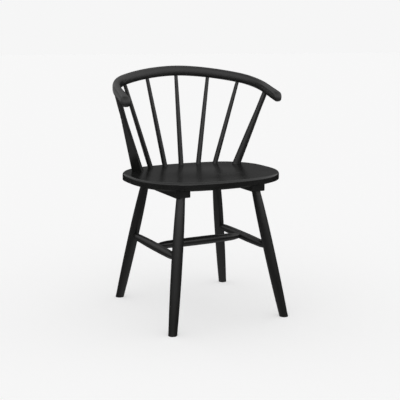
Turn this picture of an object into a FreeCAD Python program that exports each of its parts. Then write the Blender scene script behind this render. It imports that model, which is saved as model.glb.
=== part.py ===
import FreeCAD, Part
import math
import os

import Sketcher
from FreeCAD import Placement, Rotation, Vector

# Low-back windsor chair in turned and bent wood, millimetres.
# Origin on the floor under the middle of the chair, +Z up, the chair faces -Y, +X is its left hand.

SIZES = {
    # seat plank: a squared oval of tangent arcs, deeper ahead of its widest line than behind it
    "seat_top_height": 445.0,
    "seat_thickness": 29.0,
    "seat_width": 482.0,
    "seat_widest_y": -10.0,
    "seat_depth_behind": 181.0,
    "seat_depth_ahead": 205.0,
    "seat_back_radius": 690.0,
    "seat_back_corner_radius": 141.0,
    "seat_side_radius": 610.0,
    "seat_front_corner_radius": 170.0,
    "seat_front_radius": 518.0,
    "seat_top_round": 7.0,
    "seat_bevel_height": 8.0,
    "seat_bevel_inset": 24.0,
    "dish_depth": 5.0,
    "dish_radius": 155.0,
    "dish_centre_y": -33.0,
    "dish_flat_share": 0.55,
    # battens under the seat
    "batten_width": 46.0,
    "batten_thickness": 24.0,
    "batten_length": 300.0,
    "batten_centre_x": 127.0,
    "batten_edge_chamfer": 1.5,
    # legs: centre lines on the floor and on the battens' underside
    "front_foot_x": 191.0,
    "front_foot_y": -207.5,
    "rear_foot_x": 196.5,
    "rear_foot_y": 207.5,
    "front_leg_top_x": 128.0,
    "front_leg_top_y": -133.0,
    "rear_leg_top_x": 130.0,
    "rear_leg_top_y": 132.5,
    "leg_foot_dia": 27.0,
    "leg_belly_dia": 33.0,
    "leg_top_dia": 26.5,
    "leg_foot_straight": 10.0,
    "leg_belly_straight": 40.0,
    "leg_top_straight": 8.0,
    "leg_tenon_dia": 19.0,
    "leg_tenon_length": 19.0,
    # stretchers
    "stretcher_height": 218.0,
    "side_stretcher_dia": 27.0,
    "side_stretcher_shoulder_dia": 24.5,
    "cross_stretcher_dia": 27.7,
    "cross_stretcher_shoulder_dia": 24.5,
    "stretcher_middle_straight": 34.0,
    "stretcher_taper_length": 40.0,
    "stretcher_taper_swell": 2.8,
    "stretcher_neck_dia": 14.5,
    "stretcher_tenon_dia": 13.0,
    "side_tenon_past_axis": 6.0,
    "wedge_length": 11.0,
    "wedge_thick_end": 2.4,
    "wedge_thin_end": 1.2,
    "wedge_width": 12.2,
    # back spindles: feet on the seat, heads under the rail
    "spindle_foot_dia": 16.8,
    "spindle_middle_dia": 14.4,
    "spindle_head_dia": 11.2,
    "spindle_middle_share": 0.55,
    "spindle_foot_tenon": 18.0,
    "spindle_head_tenon": 17.0,
    "spindle_foot_centre_y": 134.5,
    "spindle_foot_inner_x": 60.5,
    "spindle_foot_inner_y": 129.0,
    "spindle_foot_outer_x": 116.5,
    "spindle_foot_outer_y": 117.0,
    "spindle_head_inner_share": 0.275,
    "spindle_head_outer_share": 0.525,
    # arm posts: turned, then planed to a blade that is widest at the seat
    "post_foot_x": 177.0,
    "post_foot_y": 78.5,
    "post_head_share": 0.793,
    "post_blade_width": 35.8,
    "post_blade_mid_width": 20.4,
    "post_blade_mid_length": 150.0,
    "post_round_length": 206.0,
    "post_thickness": 17.0,
    "post_blade_turn": 52.6,
    "post_foot_tenon_dia": 15.0,
    "post_foot_tenon": 18.0,
    "post_head_tenon": 9.0,
    # arm rail: plan of arcs and straight arms, falling towards the arm ends
    "rail_width": 25.0,
    "rail_depth": 32.5,
    "rail_top_round": 10.0,
    "rail_low_round": 9.0,
    "rail_end_round": 7.0,
    "rail_back_y": 171.0,
    "rail_back_height": 750.2,
    "rail_back_radius": 403.0,
    "rail_back_turn": 29.9,
    "rail_corner_radius": 109.5,
    "rail_corner_turn": 55.2,
    "rail_arm_length": 81.5,
    "rail_fall": 82.5,
    "rail_fall_power": 0.89,
    # screws that hold the battens to the seat
    "screw_spacing": 62.0,
    "screw_length": 42.0,
    "screw_shank_dia": 4.5,
    "screw_head_dia": 8.6,
    "screw_head_height": 2.6,
    # gaps left round and behind what sits in a drilled hole
    "fit_clearance": 0.1,
    "end_clearance": 0.4,
    "drill_overrun": 12.0,
}

os.makedirs("parts", exist_ok=True)
doc = FreeCAD.newDocument("windsor_chair")


sheet = doc.addObject("Spreadsheet::Sheet", "sizes")


def add_rows(values, first_row):
    for row, (name, value) in enumerate(values.items(), start=first_row):
        sheet.set("A%d" % row, name)
        sheet.set("B%d" % row, repr(round(value, 6)))
        sheet.setAlias("B%d" % row, name)
    doc.recompute()


def size(name):
    return float(sheet.get(name))


add_rows(SIZES, 1)


# Levels and points that several pieces share


def mirror(point):
    return Vector(-point.x, point.y, point.z)


def on_side(point, side):
    return point if side > 0 else mirror(point)


SEAT_TOP = size("seat_top_height")
SEAT_UNDERSIDE = SEAT_TOP - size("seat_thickness")
BATTEN_UNDERSIDE = SEAT_UNDERSIDE - size("batten_thickness")


def leg_line(end):
    """Centre line of the leg on the +X side, from the floor to the battens' underside."""
    foot = Vector(size(end + "_foot_x"), size(end + "_foot_y"), 0)
    top = Vector(size(end + "_leg_top_x"), size(end + "_leg_top_y"), BATTEN_UNDERSIDE)
    return foot, top


def leg_point(end, height):
    foot, top = leg_line(end)
    return foot + (top - foot) * (height / top.z)


def side_stretcher_line():
    height = size("stretcher_height")
    return leg_point("front", height), leg_point("rear", height)


def rail_plan(distance):
    """Point of the rail's plan curve at a distance from the middle of the back, on the +X side."""
    back_radius = size("rail_back_radius")
    back_turn = math.radians(size("rail_back_turn"))
    corner_radius = size("rail_corner_radius")
    corner_turn = math.radians(size("rail_corner_turn"))
    corner_centre_x = (back_radius - corner_radius) * math.sin(back_turn)
    corner_centre_y = (back_radius - corner_radius) * math.cos(back_turn) - back_radius
    past_back = distance - back_radius * back_turn
    past_corner = past_back - corner_radius * corner_turn
    if past_back <= 0:
        turn = distance / back_radius
        return back_radius * math.sin(turn), back_radius * (math.cos(turn) - 1)
    turn = back_turn + min(past_back / corner_radius, corner_turn)
    x = corner_centre_x + corner_radius * math.sin(turn)
    y = corner_centre_y + corner_radius * math.cos(turn)
    if past_corner > 0:
        x += past_corner * math.cos(turn)
        y -= past_corner * math.sin(turn)
    return x, y


def rail_half_length():
    back = size("rail_back_radius") * math.radians(size("rail_back_turn"))
    corner = size("rail_corner_radius") * math.radians(size("rail_corner_turn"))
    return back + corner + size("rail_arm_length")


def rail_point(share):
    """Centre of the rail's section at a share of its half length, -1 to 1."""
    half = rail_half_length()
    x, y = rail_plan(abs(share) * half)
    end_y = rail_plan(half)[1]
    fall = size("rail_fall") * (y / end_y) ** size("rail_fall_power")
    return Vector(math.copysign(x, share), size("rail_back_y") + y, size("rail_back_height") - fall)


def rail_underside(share):
    return rail_point(share) - Vector(0, 0, size("rail_depth") / 2)


def post_line(side):
    foot = Vector(side * size("post_foot_x"), size("post_foot_y"), SEAT_TOP)
    return foot, rail_underside(side * size("post_head_share"))


def cross_point(side):
    """Middle of a side stretcher's centre line, where the cross stretcher goes through it."""
    front, rear = (on_side(point, side) for point in side_stretcher_line())
    return (front + rear) / 2


def spindle_lines():
    """Name, foot on the seat and head under the rail of each back spindle, left to right."""
    inner = Vector(size("spindle_foot_inner_x"), size("spindle_foot_inner_y"), SEAT_TOP)
    outer = Vector(size("spindle_foot_outer_x"), size("spindle_foot_outer_y"), SEAT_TOP)
    centre = Vector(0, size("spindle_foot_centre_y"), SEAT_TOP)
    inner_share = size("spindle_head_inner_share")
    outer_share = size("spindle_head_outer_share")
    rows = [
        (mirror(outer), -outer_share),
        (mirror(inner), -inner_share),
        (centre, 0),
        (inner, inner_share),
        (outer, outer_share),
    ]
    return [
        ("spindle_%d" % (number + 1), foot, rail_underside(share))
        for number, (foot, share) in enumerate(rows)
    ]


# Stations of the turned pieces: they follow from the driving sizes and the points above


def eased(low, high):
    """Diameter halfway along an arc that leaves the low end on a slope and ends level with the high."""
    return high - (high - low) / 4


def leg_rows(end):
    """Straight at the foot, round the stretcher's socket and at the top, with two long arcs between."""
    foot, top = leg_line(end)
    length = (top - foot).Length
    socket = (leg_point(end, size("stretcher_height")) - foot).Length
    heights = {
        "low_end": -size("leg_foot_dia"),
        "foot_straight": size("leg_foot_straight"),
        "belly_start": socket - size("leg_belly_straight") / 2,
        "belly_end": socket + size("leg_belly_straight") / 2,
        "top_straight": length - size("leg_top_straight"),
        "high_end": length + size("leg_foot_dia"),
    }
    heights["lower_swell"] = (heights["foot_straight"] + heights["belly_start"]) / 2
    heights["upper_swell"] = (heights["belly_end"] + heights["top_straight"]) / 2
    return {"leg_%s_%s" % (end, name): value for name, value in heights.items()}


def stretcher_rows(prefix, neck, tenon_end):
    """Stations on both sides of the stretcher's middle, which is at height zero."""
    straight = size("stretcher_middle_straight") / 2
    shoulder = neck - size("stretcher_taper_length")
    heights = {
        "tenon_end": tenon_end,
        "neck": neck,
        "taper": (neck + shoulder) / 2,
        "shoulder": shoulder,
        "swell": (shoulder + straight) / 2,
        "straight": straight,
    }
    rows = {}
    for name, value in heights.items():
        rows["%s_%s" % (prefix, name)] = value
        rows["%s_%s_far" % (prefix, name)] = -value
    mean_dia = (size(prefix + "_shoulder_dia") + size("stretcher_neck_dia")) / 2
    rows[prefix + "_taper_dia"] = mean_dia + size("stretcher_taper_swell")
    rows[prefix + "_swell_dia"] = eased(size(prefix + "_shoulder_dia"), size(prefix + "_dia"))
    return rows


def spindle_rows(name, foot, head):
    length = (head - foot).Length
    return {
        name + "_low_end": -size("spindle_foot_tenon"),
        name + "_middle_height": length * size("spindle_middle_share"),
        name + "_high_end": length + size("spindle_head_tenon"),
    }


def post_rows():
    foot, head = post_line(1)
    spare = size("post_blade_width") / 2
    start = size("post_blade_mid_length")
    slope = (size("post_blade_width") - size("post_blade_mid_width")) / start
    bend_dia = size("post_thickness") + (size("post_blade_mid_width") - size("post_thickness")) / 4
    return {
        "post_low_end": -spare,
        "post_low_dia": size("post_blade_width") + slope * spare,
        "post_bend_height": (start + size("post_round_length")) / 2,
        "post_bend_dia": bend_dia,
        "post_high_end": (head - foot).Length + size("post_head_tenon"),
    }


def following_sizes():
    """Every length that follows from the driving sizes, by its name in the sheet."""
    rows = {**leg_rows("front"), **leg_rows("rear"), **post_rows()}
    rows["leg_lower_swell_dia"] = eased(size("leg_foot_dia"), size("leg_belly_dia"))
    rows["leg_upper_swell_dia"] = eased(size("leg_top_dia"), size("leg_belly_dia"))
    front, rear = side_stretcher_line()
    side_half = (rear - front).Length / 2
    side_neck = side_half - size("leg_belly_dia") / 2
    side_end = side_half + size("side_tenon_past_axis")
    rows.update(stretcher_rows("side_stretcher", side_neck, side_end))
    cross_half = cross_point(1).x
    half_side_dia = size("side_stretcher_dia") / 2
    cross_neck = cross_half - half_side_dia
    cross_end = cross_half + half_side_dia
    rows.update(stretcher_rows("cross_stretcher", cross_neck, cross_end))
    for name, foot, head in spindle_lines():
        rows.update(spindle_rows(name, foot, head))
    return rows


add_rows(following_sizes(), len(SIZES) + 1)


# Small modelling helpers


def new_body(name):
    body = doc.addObject("PartDesign::Body", name)
    body.Label = name
    return body


def origin_feature(body, role):
    for feature in body.Origin.OriginFeatures:
        if feature.Role == role:
            return feature
    raise ValueError(role)


def new_sketch(body, name, role):
    sketch = body.newObject("Sketcher::SketchObject", name)
    sketch.AttachmentSupport = (origin_feature(body, role), "")
    sketch.MapMode = "FlatFace"
    return sketch


def pin(sketch, geometry, position, across, along):
    """Fixes one sketch point at two sheet lengths, given as expressions."""
    point = sketch.getPoint(geometry, position)
    for kind, expression, value in (("DistanceX", across, point.x), ("DistanceY", along, point.y)):
        index = sketch.addConstraint(Sketcher.Constraint(kind, -1, 1, geometry, position, value))
        if expression is not None:
            sketch.setExpression("Constraints[%d]" % index, expression)


def turned_body(name, stations):
    """A turned piece along its body's own Z axis.

    Each station is (height name, diameter name, kind). The profile runs straight from one "line"
    station to the next, or in one arc where a "through" station stands between them.
    """
    body = new_body(name)
    sketch = new_sketch(body, name + "_profile", "XZ_Plane")
    points = [Vector(size(d) / 2, size(h), 0) for h, d, kind in stations]
    names = [("sizes.%s / 2" % d, "sizes.%s" % h) for h, d, kind in stations]
    edges = [Part.LineSegment(Vector(0, points[0].y, 0), points[0])]
    ends = [0]
    index = 0
    while index < len(points) - 1:
        if stations[index + 1][2] == "through":
            edges.append(Part.Arc(points[index], points[index + 1], points[index + 2]))
            index += 2
        else:
            edges.append(Part.LineSegment(points[index], points[index + 1]))
            index += 1
        ends.append(index)
    edges.append(Part.LineSegment(points[-1], Vector(0, points[-1].y, 0)))
    edges.append(Part.LineSegment(Vector(0, points[-1].y, 0), Vector(0, points[0].y, 0)))
    for edge in edges:
        sketch.addGeometry(edge, False)
    tips = []
    for number, station in enumerate(ends):
        before = end_at(sketch, number, points[station])
        after = end_at(sketch, number + 1, points[station])
        tips.append((number, before, number + 1, after))
    for number, tip in enumerate(tips):
        sketch.addConstraint(Sketcher.Constraint("Coincident", *tip))
        pin(sketch, tip[0], tip[1], *names[ends[number]])
    last = len(edges) - 1
    sketch.addConstraint(Sketcher.Constraint("Coincident", last - 1, 2, last, 1))
    sketch.addConstraint(Sketcher.Constraint("Coincident", last, 2, 0, 1))
    sketch.addConstraint(Sketcher.Constraint("PointOnObject", last, 1, -2))
    sketch.addConstraint(Sketcher.Constraint("PointOnObject", last, 2, -2))
    sketch.addConstraint(Sketcher.Constraint("Horizontal", 0))
    sketch.addConstraint(Sketcher.Constraint("Horizontal", last - 1))
    for station, kind in enumerate(row[2] for row in stations):
        if kind == "through":
            arc = 1 + ends.index(station - 1)
            mark = sketch.addGeometry(Part.Point(points[station]), True)
            sketch.addConstraint(Sketcher.Constraint("PointOnObject", mark, 1, arc))
            pin(sketch, mark, 1, *names[station])
    turning = body.newObject("PartDesign::Revolution", name + "_turning")
    turning.Profile = sketch
    turning.ReferenceAxis = (sketch, ["V_Axis"])
    turning.Angle = 360
    return body


def end_at(sketch, geometry, point):
    """Which end of a line or arc lies at a point: an arc always runs anticlockwise in a sketch."""
    gap = sketch.getPoint(geometry, 1).distanceToPoint(point)
    return 1 if gap < 1e-6 else 2


def along(start, end):
    """Placement whose Z axis runs from start towards end."""
    return Placement(start, Rotation(Vector(0, 0, 1), end - start))


def place_tool(body, tool, placement):
    tool.Placement = body.Placement.inverse().multiply(placement)


def drill(body, name, diameter, mouth, direction, depth_expression, clearance=True):
    """Blind round socket from a mouth point along a direction, started outside the wood."""
    tool = body.newObject("PartDesign::SubtractiveCylinder", name)
    radius = "sizes.%s / 2" % diameter
    tool.setExpression("Radius", radius + " + sizes.fit_clearance" if clearance else radius)
    tool.setExpression("Height", "sizes.drill_overrun + " + depth_expression)
    heading = Vector(direction).normalize()
    start = mouth - heading * size("drill_overrun")
    place_tool(body, tool, along(start, mouth + heading))
    return tool


def plug(body, name, diameter, start, direction, length):
    """Round tenon added to a body, from a start point along a direction."""
    tool = body.newObject("PartDesign::AdditiveCylinder", name)
    tool.setExpression("Radius", "sizes.%s / 2" % diameter)
    tool.Height = length
    place_tool(body, tool, along(start, start + Vector(direction)))
    return tool


def slice_off(body, name, height, upwards):
    """Cuts away everything above or below one level, near where the body's axis crosses it."""
    reach = 4 * size("seat_thickness")
    axis = body.Placement.Rotation.multVec(Vector(0, 0, 1))
    base = body.Placement.Base
    crossing = base + axis * ((height - base.z) / axis.z)
    tool = body.newObject("PartDesign::SubtractiveBox", name)
    tool.Length = 2 * reach
    tool.Width = 2 * reach
    tool.Height = reach
    bottom = height if upwards else height - reach
    corner = Vector(crossing.x - reach, crossing.y - reach, bottom)
    place_tool(body, tool, Placement(corner, Rotation()))
    return tool


def edges_where(shape, test):
    return ["Edge%d" % (number + 1) for number, edge in enumerate(shape.Edges) if test(edge.BoundBox)]


def round_edges(body, name, test, radius_expression):
    doc.recompute()
    base = body.Tip
    fillet = body.newObject("PartDesign::Fillet", name)
    fillet.Base = (base, edges_where(base.Shape, test))
    fillet.setExpression("Radius", radius_expression)
    doc.recompute()
    return fillet


# Seat


def corner_centre(first, first_radius, second, second_radius, radius):
    """Centre of the arc that joins two larger arcs from inside, on their right-hand side."""
    line = second - first
    apart = line.Length
    reach = first_radius - radius
    share = (reach ** 2 - (second_radius - radius) ** 2 + apart ** 2) / (2 * apart)
    offset = math.sqrt(reach ** 2 - share ** 2)
    unit = line.normalize()
    return first + unit * share + Vector(unit.y, -unit.x, 0) * offset


def arc_between(centre, radius, first, last):
    """Arc of a circle between the directions of two points, anticlockwise."""
    start = math.atan2(first.y - centre.y, first.x - centre.x)
    end = math.atan2(last.y - centre.y, last.x - centre.x)
    circle = Part.Circle(centre, Vector(0, 0, 1), radius)
    return Part.ArcOfCircle(circle, start, end)


def draw_seat_outline(sketch):
    """Eight tangent arcs, anticlockwise from the right side: each radius has a cell of its own."""
    half = size("seat_width") / 2
    widest = size("seat_widest_y")
    side_radius = size("seat_side_radius")
    side = Vector(half - side_radius, widest, 0)
    ends = {}
    for name, depth, sign in (("back", "seat_depth_behind", 1), ("front", "seat_depth_ahead", -1)):
        radius = size("seat_%s_radius" % name)
        corner_radius = size("seat_%s_corner_radius" % name)
        centre = Vector(0, widest + sign * (size(depth) - radius), 0)
        pair = (centre, radius, side, side_radius) if sign > 0 else (side, side_radius, centre, radius)
        ends[name] = (centre, radius, corner_centre(*pair, corner_radius), corner_radius)
    back, back_radius, back_corner, back_corner_radius = ends["back"]
    front, front_radius, front_corner, front_corner_radius = ends["front"]
    circles = [
        (side, side_radius, "side"),
        (back_corner, back_corner_radius, "back_corner"),
        (back, back_radius, "back"),
        (mirror(back_corner), back_corner_radius, "back_corner"),
        (mirror(side), side_radius, "side"),
        (mirror(front_corner), front_corner_radius, "front_corner"),
        (front, front_radius, "front"),
        (front_corner, front_corner_radius, "front_corner"),
    ]
    joints = []
    for number, (centre, radius, name) in enumerate(circles):
        other, other_radius, other_name = circles[(number + 1) % 8]
        large, small = (centre, other) if radius > other_radius else (other, centre)
        joints.append(large + (small - large).normalize() * max(radius, other_radius))
    for number, (centre, radius, name) in enumerate(circles):
        sketch.addGeometry(arc_between(centre, radius, joints[number - 1], joints[number]), False)
    for number, (centre, radius, name) in enumerate(circles):
        following = (number + 1) % 8
        sketch.addConstraint(Sketcher.Constraint("Tangent", number, 2, following, 1))
        index = sketch.addConstraint(Sketcher.Constraint("Radius", number, radius))
        sketch.setExpression("Constraints[%d]" % index, "sizes.seat_%s_radius" % name)
    across = "sizes.seat_width / 2 - sizes.seat_side_radius"
    pin(sketch, 0, 3, across, "sizes.seat_widest_y")
    pin(sketch, 4, 3, "-(%s)" % across, "sizes.seat_widest_y")
    pin(sketch, 2, 3, None, "sizes.seat_widest_y + sizes.seat_depth_behind - sizes.seat_back_radius")
    pin(sketch, 6, 3, None, "sizes.seat_widest_y - sizes.seat_depth_ahead + sizes.seat_front_radius")


def dish_profile():
    """Half of the shallow dish: a hollow arc that runs on into a raised one, flat at both ends."""
    depth = size("dish_depth")
    radius = size("dish_radius")
    split = radius * size("dish_flat_share")
    swing = 2 * math.atan2(depth, radius)
    hollow = split / math.sin(swing)
    raised = (radius - split) / math.sin(swing)
    low = SEAT_TOP - depth
    turn_z = low + hollow * (1 - math.cos(swing))
    first = Vector(hollow * math.sin(swing / 2), low + hollow * (1 - math.cos(swing / 2)), 0)
    second = Vector(radius - raised * math.sin(swing / 2), SEAT_TOP - raised * (1 - math.cos(swing / 2)), 0)
    bottom = Vector(0, low, 0)
    bend = Vector(split, turn_z, 0)
    rim = Vector(radius, SEAT_TOP, 0)
    lid_rim = Vector(radius, SEAT_TOP + depth, 0)
    lid = Vector(0, SEAT_TOP + depth, 0)
    return [
        Part.Arc(bottom, first, bend),
        Part.Arc(bend, second, rim),
        Part.LineSegment(rim, lid_rim),
        Part.LineSegment(lid_rim, lid),
        Part.LineSegment(lid, bottom),
    ]


def make_seat():
    body = new_body("seat")
    outline = new_sketch(body, "seat_outline", "XY_Plane")
    outline.setExpression("AttachmentOffset.Base.z", "sizes.seat_top_height - sizes.seat_thickness")
    draw_seat_outline(outline)
    plank = body.newObject("PartDesign::Pad", "seat_plank")
    plank.Profile = outline
    plank.setExpression("Length", "sizes.seat_thickness")
    doc.recompute()
    round_edges(body, "seat_top_round", lambda box: box.ZMin > SEAT_TOP - 1, "sizes.seat_top_round")
    bevel = body.newObject("PartDesign::Chamfer", "seat_bevel")
    rounded = doc.getObject("seat_top_round")
    bevel.Base = (rounded, edges_where(rounded.Shape, lambda box: box.ZMax < SEAT_UNDERSIDE + 1))
    bevel.ChamferType = "Two distances"
    bevel.setExpression("Size", "sizes.seat_bevel_height")
    bevel.setExpression("Size2", "sizes.seat_bevel_inset")
    doc.recompute()
    hollow = new_sketch(body, "seat_dish_profile", "XZ_Plane")
    hollow.setExpression("AttachmentOffset.Base.z", "-sizes.dish_centre_y")
    for edge in dish_profile():
        hollow.addGeometry(edge, False)
    dish = body.newObject("PartDesign::Groove", "seat_dish")
    dish.Profile = hollow
    dish.ReferenceAxis = (hollow, ["V_Axis"])
    dish.Angle = 360
    doc.recompute()
    for name, foot, head in spindle_lines():
        depth = "sizes.spindle_foot_tenon + sizes.end_clearance"
        drill(body, name + "_seat_socket", "spindle_foot_dia", foot, foot - head, depth)
    for side in (-1, 1):
        foot, head = post_line(side)
        depth = "sizes.post_foot_tenon + sizes.end_clearance"
        name = "post_seat_socket_%s" % side_name(side)
        drill(body, name, "post_foot_tenon_dia", foot, foot - head, depth)
        for number, place in enumerate(screw_places(side)):
            mouth = Vector(place.x, place.y, SEAT_UNDERSIDE)
            depth = "sizes.screw_length - sizes.batten_thickness + sizes.end_clearance"
            name = "screw_hole_%s_%d" % (side_name(side), number + 1)
            drill(body, name, "screw_shank_dia", mouth, Vector(0, 0, 1), depth)
    return body


def side_name(side):
    return "right" if side > 0 else "left"


# Battens and their screws


def screw_places(side):
    """Heads of one batten's screws, on its underside."""
    x = side * size("batten_centre_x")
    spacing = size("screw_spacing")
    return [Vector(x, step * spacing, BATTEN_UNDERSIDE) for step in (-1, 0, 1)]


def make_batten(side):
    name = "batten_" + side_name(side)
    body = new_body(name)
    block = body.newObject("PartDesign::AdditiveBox", name + "_block")
    block.setExpression("Length", "sizes.batten_width")
    block.setExpression("Width", "sizes.batten_length")
    block.setExpression("Height", "sizes.batten_thickness")
    left_edge = side * size("batten_centre_x") - size("batten_width") / 2
    block.Placement = Placement(Vector(left_edge, -size("batten_length") / 2, BATTEN_UNDERSIDE), Rotation())
    doc.recompute()
    chamfer = body.newObject("PartDesign::Chamfer", name + "_edges")
    chamfer.Base = (block, edges_where(block.Shape, lambda box: box.ZMin < SEAT_UNDERSIDE - 1))
    chamfer.setExpression("Size", "sizes.batten_edge_chamfer")
    for end in ("front", "rear"):
        foot, top = leg_line(end)
        foot, top = on_side(foot, side), on_side(top, side)
        depth = "sizes.leg_tenon_length + sizes.end_clearance"
        drill(body, "%s_%s_leg_socket" % (name, end), "leg_tenon_dia", top, top - foot, depth)
    for number, place in enumerate(screw_places(side)):
        shank = "%s_screw_hole_%d" % (name, number + 1)
        depth = "sizes.batten_thickness + sizes.end_clearance"
        drill(body, shank, "screw_shank_dia", place, Vector(0, 0, 1), depth)
        sink = body.newObject("PartDesign::SubtractiveCone", shank + "_sink")
        sink.setExpression("Radius1", "sizes.screw_head_dia / 2 + sizes.fit_clearance")
        sink.setExpression("Radius2", "sizes.screw_shank_dia / 2 + sizes.fit_clearance")
        sink.setExpression("Height", "sizes.screw_head_height + sizes.fit_clearance")
        sink.Placement = Placement(place, Rotation())
        doc.recompute()
    return body


def make_screws():
    screws = []
    for side in (-1, 1):
        for number, place in enumerate(screw_places(side)):
            name = "screw_%s_%d" % (side_name(side), number + 1)
            head = doc.addObject("Part::Cone", name + "_head")
            head.setExpression("Radius1", "sizes.screw_head_dia / 2")
            head.setExpression("Radius2", "sizes.screw_shank_dia / 2")
            head.setExpression("Height", "sizes.screw_head_height")
            head.Placement = Placement(place, Rotation())
            shank = doc.addObject("Part::Cylinder", name + "_shank")
            shank.setExpression("Radius", "sizes.screw_shank_dia / 2")
            shank.setExpression("Height", "sizes.screw_length")
            shank.Placement = Placement(place, Rotation())
            screw = doc.addObject("Part::Fuse", name)
            screw.Base = head
            screw.Tool = shank
            screws.append(screw)
    group = doc.addObject("Part::Compound", "batten_screws")
    group.Links = screws
    doc.recompute()
    return group


# Legs


def make_leg(end, side):
    name = "leg_%s_%s" % (end, side_name(side))
    foot, top = (on_side(point, side) for point in leg_line(end))
    spare = size("leg_foot_dia")
    rows = [
        ("low_end", "leg_foot_dia", "line"),
        ("foot_straight", "leg_foot_dia", "line"),
        ("lower_swell", "leg_lower_swell_dia", "through"),
        ("belly_start", "leg_belly_dia", "line"),
        ("belly_end", "leg_belly_dia", "line"),
        ("upper_swell", "leg_upper_swell_dia", "through"),
        ("top_straight", "leg_top_dia", "line"),
        ("high_end", "leg_top_dia", "line"),
    ]
    body = turned_body(name, [("leg_%s_%s" % (end, height), dia, kind) for height, dia, kind in rows])
    body.Placement = along(foot, top)
    slice_off(body, name + "_foot_cut", 0, False)
    slice_off(body, name + "_shoulder_cut", BATTEN_UNDERSIDE, True)
    rise = (top - foot).normalize()
    inside = top - rise * spare
    plug(body, name + "_tenon", "leg_tenon_dia", inside, rise, spare + size("leg_tenon_length"))
    mouth, direction = side_stretcher_mouth(end, side)
    depth = "sizes.leg_belly_dia / 2 + sizes.side_tenon_past_axis + sizes.end_clearance"
    drill(body, name + "_stretcher_socket", "stretcher_tenon_dia", mouth, direction, depth)
    return body


def side_stretcher_mouth(end, side):
    """Where a side stretcher enters a leg, and which way its socket runs."""
    front, rear = (on_side(point, side) for point in side_stretcher_line())
    inwards = (rear - front).normalize()
    if end == "rear":
        return rear - inwards * (size("leg_belly_dia") / 2), inwards
    return front + inwards * (size("leg_belly_dia") / 2), -inwards


# Stretchers


def stretcher_stations(prefix):
    """Stations of a turned stretcher from its far tenon to its near one."""
    rows = [
        ("tenon_end", "stretcher_tenon_dia", "line"),
        ("neck", "stretcher_tenon_dia", "line"),
        ("neck", "stretcher_neck_dia", "line"),
        ("taper", prefix + "_taper_dia", "through"),
        ("shoulder", prefix + "_shoulder_dia", "line"),
        ("swell", prefix + "_swell_dia", "through"),
        ("straight", prefix + "_dia", "line"),
    ]
    far = [("%s_%s_far" % (prefix, name), dia, kind) for name, dia, kind in rows]
    near = [("%s_%s" % (prefix, name), dia, kind) for name, dia, kind in reversed(rows)]
    return far + near


def make_side_stretcher(side):
    name = "side_stretcher_" + side_name(side)
    front, rear = (on_side(point, side) for point in side_stretcher_line())
    body = turned_body(name, stretcher_stations("side_stretcher"))
    body.Placement = along((front + rear) / 2, rear)
    outwards = Vector(side, 0, 0)
    mouth = cross_point(side) - outwards * (size("side_stretcher_dia") / 2)
    depth = "sizes.side_stretcher_dia + sizes.drill_overrun"
    drill(body, name + "_cross_mortise", "stretcher_tenon_dia", mouth, outwards, depth)
    return body


def make_cross_stretcher():
    """Its tenons go right through the side stretchers, split by wedges and trimmed flush outside."""
    body = turned_body("cross_stretcher_blank", stretcher_stations("cross_stretcher"))
    body.Placement = along(Vector(0, cross_point(1).y, cross_point(1).z), cross_point(1))
    for side in (-1, 1):
        slot = body.newObject("PartDesign::SubtractiveWedge", "wedge_slot_" + side_name(side))
        shape_wedge(slot, size("fit_clearance"))
        place_tool(body, slot, wedge_place(side))
    middle = doc.addObject("Part::Box", "stretcher_middle")
    half = cross_point(1).x
    reach = size("cross_stretcher_dia")
    middle.Length = 2 * half
    middle.Width = 2 * reach
    middle.Height = 2 * reach
    middle.Placement = Placement(cross_point(-1) - Vector(0, reach, reach), Rotation())
    envelope = doc.addObject("Part::MultiFuse", "stretcher_envelope")
    envelope.Shapes = [middle, flush_face(-1, "tenon"), flush_face(1, "tenon")]
    trimmed = doc.addObject("Part::Common", "cross_stretcher")
    trimmed.Base = body
    trimmed.Tool = envelope
    return trimmed


def flush_face(side, name):
    """The side stretcher's round face, as the limit for what comes through it."""
    front, rear = (on_side(point, side) for point in side_stretcher_line())
    reach = size("cross_stretcher_dia")
    inwards = (rear - front).normalize()
    limit = doc.addObject("Part::Cylinder", "%s_limit_%s" % (name, side_name(side)))
    limit.setExpression("Radius", "sizes.side_stretcher_dia / 2")
    limit.Height = 2 * reach
    limit.Placement = along(cross_point(side) - inwards * reach, rear)
    return limit


def shape_wedge(tool, clearance):
    """A wedge whose thin end points down, with its thick end at height zero."""
    thin = size("wedge_thin_end") / 2 + clearance
    thick = size("wedge_thick_end") / 2 + clearance
    wide = size("stretcher_tenon_dia") if clearance else size("wedge_width") / 2
    tool.Xmin = -wide
    tool.Xmax = wide
    tool.X2min = -wide
    tool.X2max = wide
    tool.Ymin = -size("wedge_length") - 4 * clearance
    tool.Ymax = 0
    tool.Zmin = -thin
    tool.Zmax = thin
    tool.Z2min = -thick
    tool.Z2max = thick


def wedge_place(side):
    """The wedge stands upright in the tenon's end, thick end outwards."""
    end = cross_point(side) + Vector(side * size("side_stretcher_dia") / 2, 0, 0)
    outwards = Vector(side, 0, 0)
    return Placement(end, Rotation(Vector(0, 0, 1), outwards, Vector(0, 0, 0), "XYZ"))


def make_wedge(side):
    blank = doc.addObject("Part::Wedge", "wedge_blank_" + side_name(side))
    shape_wedge(blank, 0)
    blank.Placement = wedge_place(side)
    wedge = doc.addObject("Part::Common", "stretcher_wedge_" + side_name(side))
    wedge.Base = blank
    wedge.Tool = flush_face(side, "wedge")
    return wedge


# Back spindles and arm posts


def make_spindle(name, foot, head):
    stations = [
        (name + "_low_end", "spindle_foot_dia", "line"),
        (name + "_middle_height", "spindle_middle_dia", "through"),
        (name + "_high_end", "spindle_head_dia", "line"),
    ]
    body = turned_body(name, stations)
    body.Placement = along(foot, head)
    return body


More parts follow.
